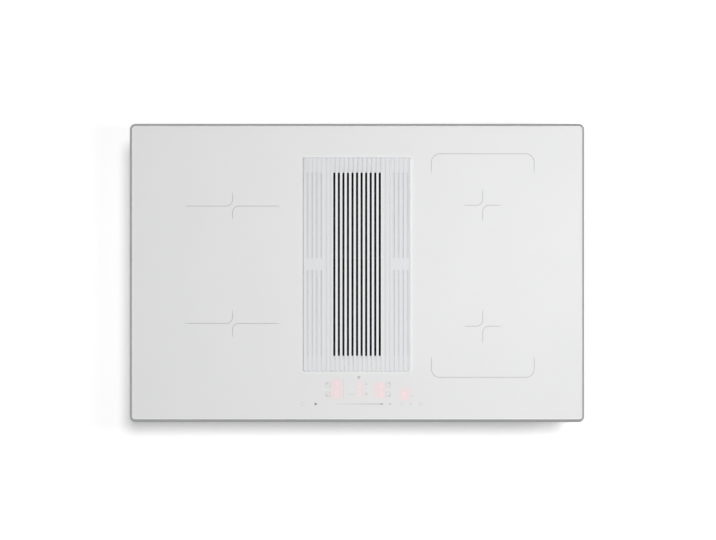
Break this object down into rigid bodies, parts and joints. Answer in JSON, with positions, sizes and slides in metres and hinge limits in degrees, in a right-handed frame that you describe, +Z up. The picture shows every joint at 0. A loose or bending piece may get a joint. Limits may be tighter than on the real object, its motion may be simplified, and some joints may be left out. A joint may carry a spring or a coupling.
{
  "type": "downdraft induction cooktop",
  "caption": "Built-in induction hob of white glass with an aluminium rim, touch controls and a ribbed intake grille over a downdraft extractor with a rear flat-duct outlet.",
  "frame": {"origin": "centre of the seal's underside, on the worktop's surface", "axes": "+X right along the long side as the user sees it, +Y towards the back, +Z up"},
  "size_m": [0.78, 0.512, 0.21],
  "materials": {
    "white_glass": "white ceramic glass, gloss",
    "rim": "satin anodised",
    "grille": "white satin coat",
    "rubber": "matt",
    "foam": "closed-cell foam strip",
    "black_plastic": "moulded, fine texture",
    "grey_plastic": "moulded housing",
    "filter_metal": "dark satin coat on steel",
    "zinc_steel": "galvanised sheet",
    "screw_steel": "zinc plated",
    "carrier": "mill finish",
    "copper": "enamelled copper litz",
    "ferrite": "sintered",
    "mica": "mica sheet",
    "board": "green circuit board",
    "cream_plastic": "moulded",
    "silicone": "silicone cap",
    "display": "seven-segment block",
    "impeller": "glass-filled",
    "motor": "drawn steel"
  },
  "bodies": {
    "root": {"glass_top": "white_glass", "trim_frame": "rim", "worktop_seal": "foam", "intake_collar": "black_plastic", "intake_well": "black_plastic", "base_tray": "zinc_steel", "tray_walls": "zinc_steel", "glass_brackets": "zinc_steel", "tray_screws": "screw_steel", "coil_carrier_left": "carrier", "coil_carrier_right": "carrier", "carrier_posts": "screw_steel", "ferrite_bars": "ferrite", "mica_sheets": "mica", "temperature_sensors": "silicone", "power_board_left": "board", "power_board_right": "board", "heat_sinks": "carrier", "terminal_block": "cream_plastic", "terminal_cover": "black_plastic", "cable_gland": "black_plastic", "control_board": "board", "control_bracket": "black_plastic", "touch_springs": "screw_steel", "digit_displays": "display", "cooling_fan_frame_left": "black_plastic", "cooling_fan_frame_right": "black_plastic", "collector_box": "grey_plastic", "housing_screws": "screw_steel", "plenum_duct": "grey_plastic", "inlet_ring": "grey_plastic", "scroll_upper": "grey_plastic", "scroll_lower": "grey_plastic", "motor_bearings": "screw_steel", "motor_mount": "carrier", "motor_stator": "motor", "outlet_duct": "grey_plastic", "flap_pin": "screw_steel", "worktop_clamps": "zinc_steel", "clamp_screws": "screw_steel", "coil_former_left_back": "cream_plastic", "coil_winding_left_back": "copper", "coil_former_left_front": "cream_plastic", "coil_winding_left_front": "copper", "coil_former_right_back": "cream_plastic", "coil_winding_right_back": "copper", "coil_former_right_front": "cream_plastic", "coil_winding_right_front": "copper"},
    "grille": {"intake_grille": "grille", "grille_bumpers": "rubber"},
    "filter": {"filter_frame": "filter_metal", "filter_mesh": "filter_metal", "filter_handle": "filter_metal"},
    "drip_drawer": {"drip_tray": "grey_plastic"},
    "impeller": {"impeller": "impeller", "rotor_can": "motor", "motor_shaft": "screw_steel"},
    "fan_left": {"cooling_fan_rotor_left": "black_plastic"},
    "fan_right": {"cooling_fan_rotor_right": "black_plastic"},
    "flap": {"backdraft_flap": "black_plastic"}
  },
  "joints": [
    {"name": "grille_lift", "type": "slide", "parent": "root", "child": "grille", "axis": [0, 0, 1], "range_m": [0, 0.4]},
    {"name": "filter_lift", "type": "slide", "parent": "root", "child": "filter", "axis": [0, 0, 1], "range_m": [0, 0.2]},
    {"name": "drip_tray_slide", "type": "slide", "parent": "root", "child": "drip_drawer", "axis": [0, -1, 0], "range_m": [0, 0.25]},
    {"name": "impeller_spin", "type": "hinge", "parent": "root", "child": "impeller", "pos_m": [0.215, 0, -0.1], "axis": [0, 0, 1], "continuous": true},
    {"name": "cooling_fan_left_spin", "type": "hinge", "parent": "root", "child": "fan_left", "pos_m": [-0.302, 0.1898, -0.04], "axis": [0, 0, 1], "continuous": true},
    {"name": "cooling_fan_right_spin", "type": "hinge", "parent": "root", "child": "fan_right", "pos_m": [0.302, 0.1898, -0.04], "axis": [0, 0, 1], "continuous": true},
    {"name": "flap_swing", "type": "hinge", "parent": "root", "child": "flap", "pos_m": [0.2565, 0.208, -0.10345], "axis": [1, 0, 0], "range_deg": [0, 75]}
  ],
  "couplings": [
    {"joint": "filter_lift", "follows": "grille_lift", "ratio": 0.5}
  ]
}
